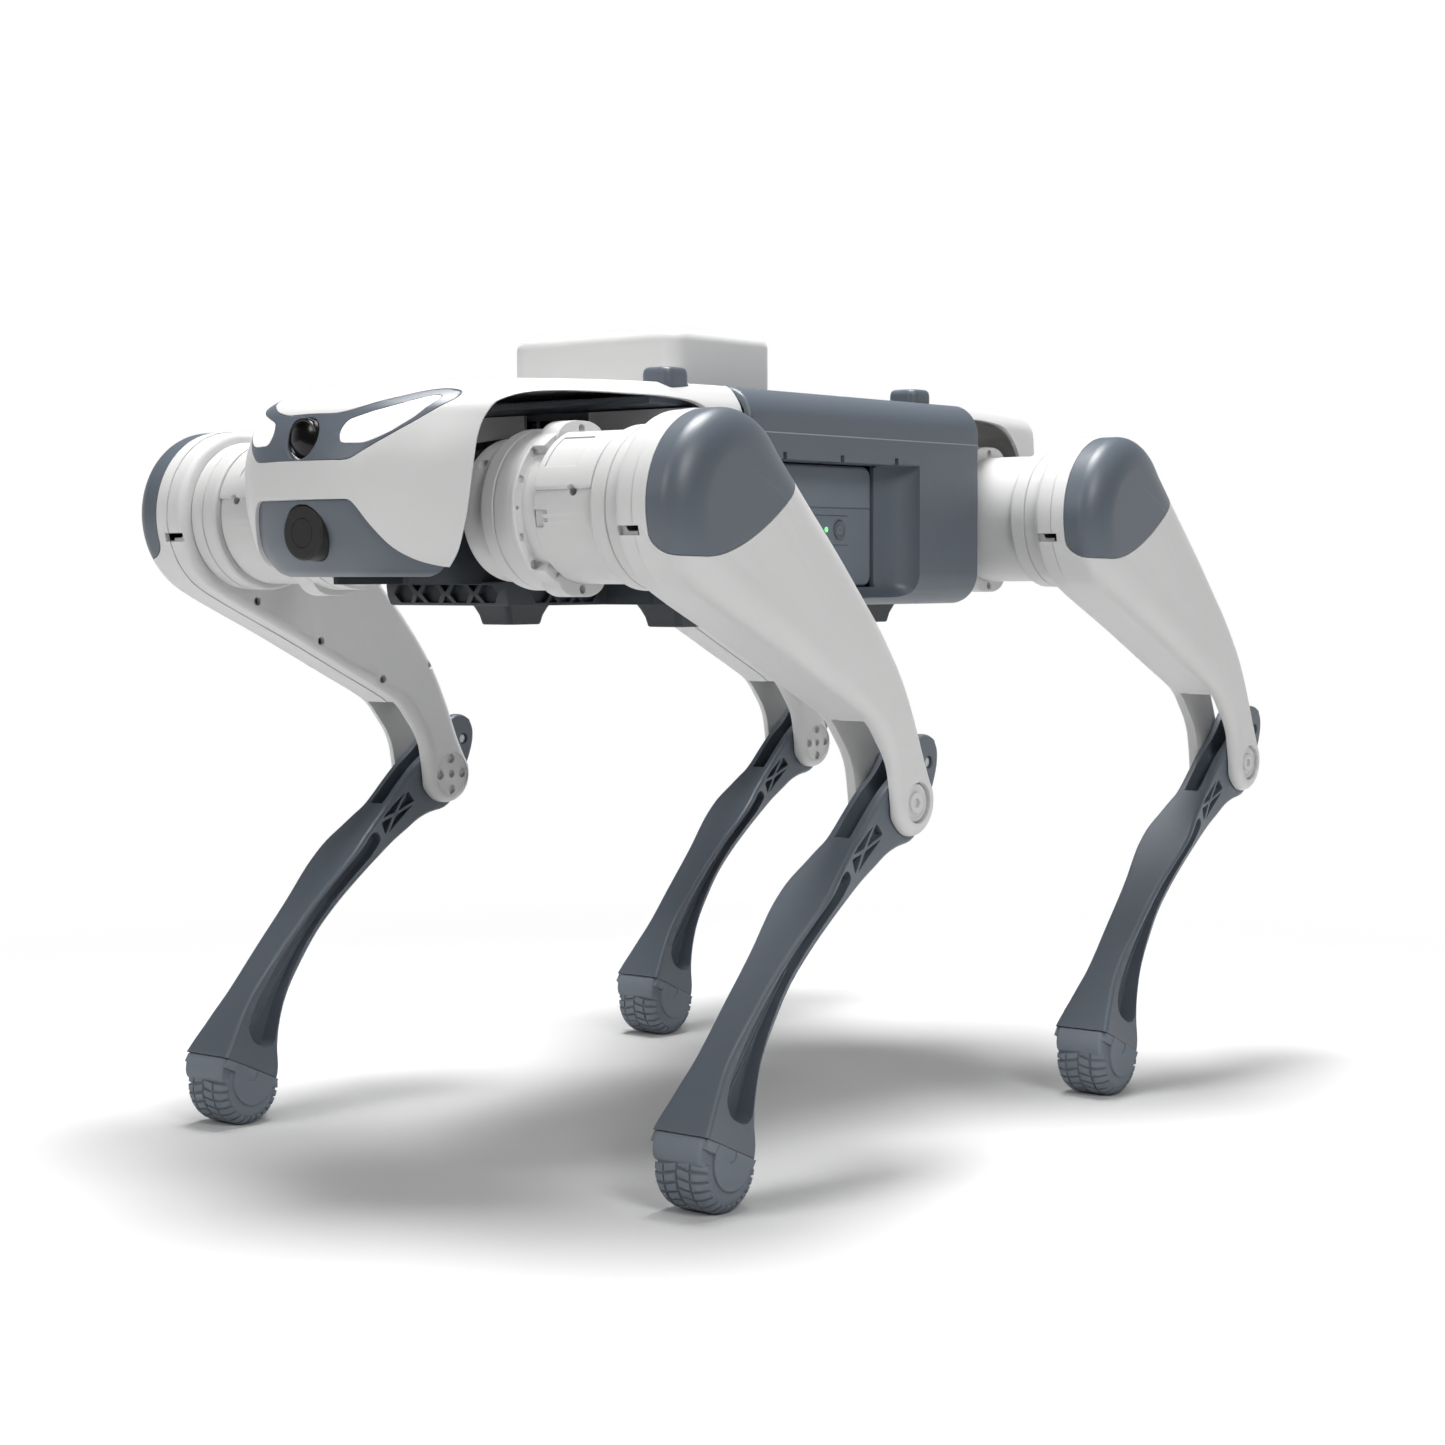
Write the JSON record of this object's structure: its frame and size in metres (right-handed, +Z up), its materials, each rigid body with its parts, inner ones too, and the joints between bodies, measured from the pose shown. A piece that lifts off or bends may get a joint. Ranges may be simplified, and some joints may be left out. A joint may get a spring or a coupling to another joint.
{
  "type": "quadruped robot",
  "caption": "Standing four-legged walking robot with rounded torso, arched hip housings, rod-driven knees and rubber feet.",
  "frame": {"origin": "on the ground, below the middle of the standing robot's length and width", "axes": "+X towards the nose, +Y to the robot's left, +Z up"},
  "size_m": [0.6219, 0.37, 0.414],
  "materials": {
    "white_shell": "satin light grey",
    "slate_shell": "satin blue grey",
    "battery_case": "satin blue grey",
    "button": "satin blue grey",
    "light_guide": "milky white",
    "lens": "gloss black",
    "sensor_disc": "matt black",
    "circuit_board": "solder mask",
    "frame_plastic": "matt dark blue grey",
    "drive_metal": "machined",
    "motor_can": "satin light grey",
    "foot_rubber": "matt"
  },
  "bodies": {
    "torso": {"head_shell": "white_shell", "chin_cover": "slate_shell", "visor": "slate_shell", "headlight_bar": "light_guide", "front_camera": "lens", "depth_sensor": "sensor_disc", "mid_shell": "slate_shell", "tail_shell": "white_shell", "compute_module": "white_shell", "main_board": "circuit_board", "payload_deck": "slate_shell", "chassis": "frame_plastic", "front_abduction_drive": "drive_metal", "rear_abduction_drive": "drive_metal"},
    "battery": {"battery_pack": "battery_case"},
    "button": {"power_button": "button"},
    "FL_hip": {"FL_hip_yoke": "white_shell", "FL_thigh_motor": "motor_can"},
    "FL_thigh": {"FL_knee_motor": "motor_can", "FL_thigh_inner_shell": "white_shell", "FL_thigh_outer_shell": "white_shell", "FL_thigh_bumper": "slate_shell", "FL_knee_axle": "drive_metal"},
    "FL_crank": {"FL_knee_crank": "drive_metal"},
    "FL_rod": {"FL_knee_rod": "drive_metal"},
    "FL_shank": {"FL_shank": "slate_shell", "FL_foot_tread": "foot_rubber"},
    "FR_hip": {"FR_hip_yoke": "white_shell", "FR_thigh_motor": "motor_can"},
    "FR_thigh": {"FR_knee_motor": "motor_can", "FR_thigh_inner_shell": "white_shell", "FR_thigh_outer_shell": "white_shell", "FR_thigh_bumper": "slate_shell", "FR_knee_axle": "drive_metal"},
    "FR_crank": {"FR_knee_crank": "drive_metal"},
    "FR_rod": {"FR_knee_rod": "drive_metal"},
    "FR_shank": {"FR_shank": "slate_shell", "FR_foot_tread": "foot_rubber"},
    "RL_hip": {"RL_hip_yoke": "white_shell", "RL_thigh_motor": "motor_can"},
    "RL_thigh": {"RL_knee_motor": "motor_can", "RL_thigh_inner_shell": "white_shell", "RL_thigh_outer_shell": "white_shell", "RL_thigh_bumper": "slate_shell", "RL_knee_axle": "drive_metal"},
    "RL_crank": {"RL_knee_crank": "drive_metal"},
    "RL_rod": {"RL_knee_rod": "drive_metal"},
    "RL_shank": {"RL_shank": "slate_shell", "RL_foot_tread": "foot_rubber"},
    "RR_hip": {"RR_hip_yoke": "white_shell", "RR_thigh_motor": "motor_can"},
    "RR_thigh": {"RR_knee_motor": "motor_can", "RR_thigh_inner_shell": "white_shell", "RR_thigh_outer_shell": "white_shell", "RR_thigh_bumper": "slate_shell", "RR_knee_axle": "drive_metal"},
    "RR_crank": {"RR_knee_crank": "drive_metal"},
    "RR_rod": {"RR_knee_rod": "drive_metal"},
    "RR_shank": {"RR_shank": "slate_shell", "RR_foot_tread": "foot_rubber"}
  },
  "joints": [
    {"name": "battery_slide", "type": "slide", "parent": "torso", "child": "battery", "axis": [0, 1, 0], "range_m": [0, 0.12]},
    {"name": "button_press", "type": "slide", "parent": "battery", "child": "button", "axis": [0, -1, 0], "range_m": [0, 0.0015], "stiffness_N_per_m": 400, "springref_m": -0.0005},
    {"name": "FL_abduction", "type": "hinge", "parent": "torso", "child": "FL_hip", "pos_m": [0.2135, 0.062, 0.32], "axis": [1, 0, 0], "range_deg": [-24, 24]},
    {"name": "FL_hip_pitch", "type": "hinge", "parent": "FL_hip", "child": "FL_thigh", "pos_m": [0.2135, 0.1605, 0.32], "axis": [0, 1, 0], "range_deg": [-62, 78]},
    {"name": "FL_knee", "type": "hinge", "parent": "FL_thigh", "child": "FL_shank", "pos_m": [0.06441, 0.1605, 0.17683], "axis": [0, -1, 0], "range_deg": [-56, 64]},
    {"name": "FL_crank_turn", "type": "hinge", "parent": "FL_thigh", "child": "FL_crank", "pos_m": [0.2135, 0.1605, 0.32], "axis": [0, -1, 0], "range_deg": [-56, 64]},
    {"name": "FL_rod_turn", "type": "hinge", "parent": "FL_crank", "child": "FL_rod", "pos_m": [0.19558, 0.1605, 0.33884], "axis": [0, -1, 0], "range_deg": [-64, 56]},
    {"name": "FR_abduction", "type": "hinge", "parent": "torso", "child": "FR_hip", "pos_m": [0.2135, -0.062, 0.32], "axis": [1, 0, 0], "range_deg": [-24, 24]},
    {"name": "FR_hip_pitch", "type": "hinge", "parent": "FR_hip", "child": "FR_thigh", "pos_m": [0.2135, -0.1605, 0.32], "axis": [0, 1, 0], "range_deg": [-62, 78]},
    {"name": "FR_knee", "type": "hinge", "parent": "FR_thigh", "child": "FR_shank", "pos_m": [0.06441, -0.1605, 0.17683], "axis": [0, -1, 0], "range_deg": [-56, 64]},
    {"name": "FR_crank_turn", "type": "hinge", "parent": "FR_thigh", "child": "FR_crank", "pos_m": [0.2135, -0.1605, 0.32], "axis": [0, -1, 0], "range_deg": [-56, 64]},
    {"name": "FR_rod_turn", "type": "hinge", "parent": "FR_crank", "child": "FR_rod", "pos_m": [0.19558, -0.1605, 0.33884], "axis": [0, -1, 0], "range_deg": [-64, 56]},
    {"name": "RL_abduction", "type": "hinge", "parent": "torso", "child": "RL_hip", "pos_m": [-0.1355, 0.062, 0.32], "axis": [1, 0, 0], "range_deg": [-24, 24]},
    {"name": "RL_hip_pitch", "type": "hinge", "parent": "RL_hip", "child": "RL_thigh", "pos_m": [-0.1355, 0.1605, 0.32], "axis": [0, 1, 0], "range_deg": [-42, 108]},
    {"name": "RL_knee", "type": "hinge", "parent": "RL_thigh", "child": "RL_shank", "pos_m": [-0.28459, 0.1605, 0.17683], "axis": [0, -1, 0], "range_deg": [-56, 64]},
    {"name": "RL_crank_turn", "type": "hinge", "parent": "RL_thigh", "child": "RL_crank", "pos_m": [-0.1355, 0.1605, 0.32], "axis": [0, -1, 0], "range_deg": [-56, 64]},
    {"name": "RL_rod_turn", "type": "hinge", "parent": "RL_crank", "child": "RL_rod", "pos_m": [-0.15342, 0.1605, 0.33884], "axis": [0, -1, 0], "range_deg": [-64, 56]},
    {"name": "RR_abduction", "type": "hinge", "parent": "torso", "child": "RR_hip", "pos_m": [-0.1355, -0.062, 0.32], "axis": [1, 0, 0], "range_deg": [-24, 24]},
    {"name": "RR_hip_pitch", "type": "hinge", "parent": "RR_hip", "child": "RR_thigh", "pos_m": [-0.1355, -0.1605, 0.32], "axis": [0, 1, 0], "range_deg": [-42, 108]},
    {"name": "RR_knee", "type": "hinge", "parent": "RR_thigh", "child": "RR_shank", "pos_m": [-0.28459, -0.1605, 0.17683], "axis": [0, -1, 0], "range_deg": [-56, 64]},
    {"name": "RR_crank_turn", "type": "hinge", "parent": "RR_thigh", "child": "RR_crank", "pos_m": [-0.1355, -0.1605, 0.32], "axis": [0, -1, 0], "range_deg": [-56, 64]},
    {"name": "RR_rod_turn", "type": "hinge", "parent": "RR_crank", "child": "RR_rod", "pos_m": [-0.15342, -0.1605, 0.33884], "axis": [0, -1, 0], "range_deg": [-64, 56]}
  ],
  "couplings": [
    {"joint": "FL_crank_turn", "follows": "FL_knee", "ratio": 1},
    {"joint": "FL_rod_turn", "follows": "FL_knee", "ratio": -1},
    {"joint": "FR_crank_turn", "follows": "FR_knee", "ratio": 1},
    {"joint": "FR_rod_turn", "follows": "FR_knee", "ratio": -1},
    {"joint": "RL_crank_turn", "follows": "RL_knee", "ratio": 1},
    {"joint": "RL_rod_turn", "follows": "RL_knee", "ratio": -1},
    {"joint": "RR_crank_turn", "follows": "RR_knee", "ratio": 1},
    {"joint": "RR_rod_turn", "follows": "RR_knee", "ratio": -1}
  ]
}
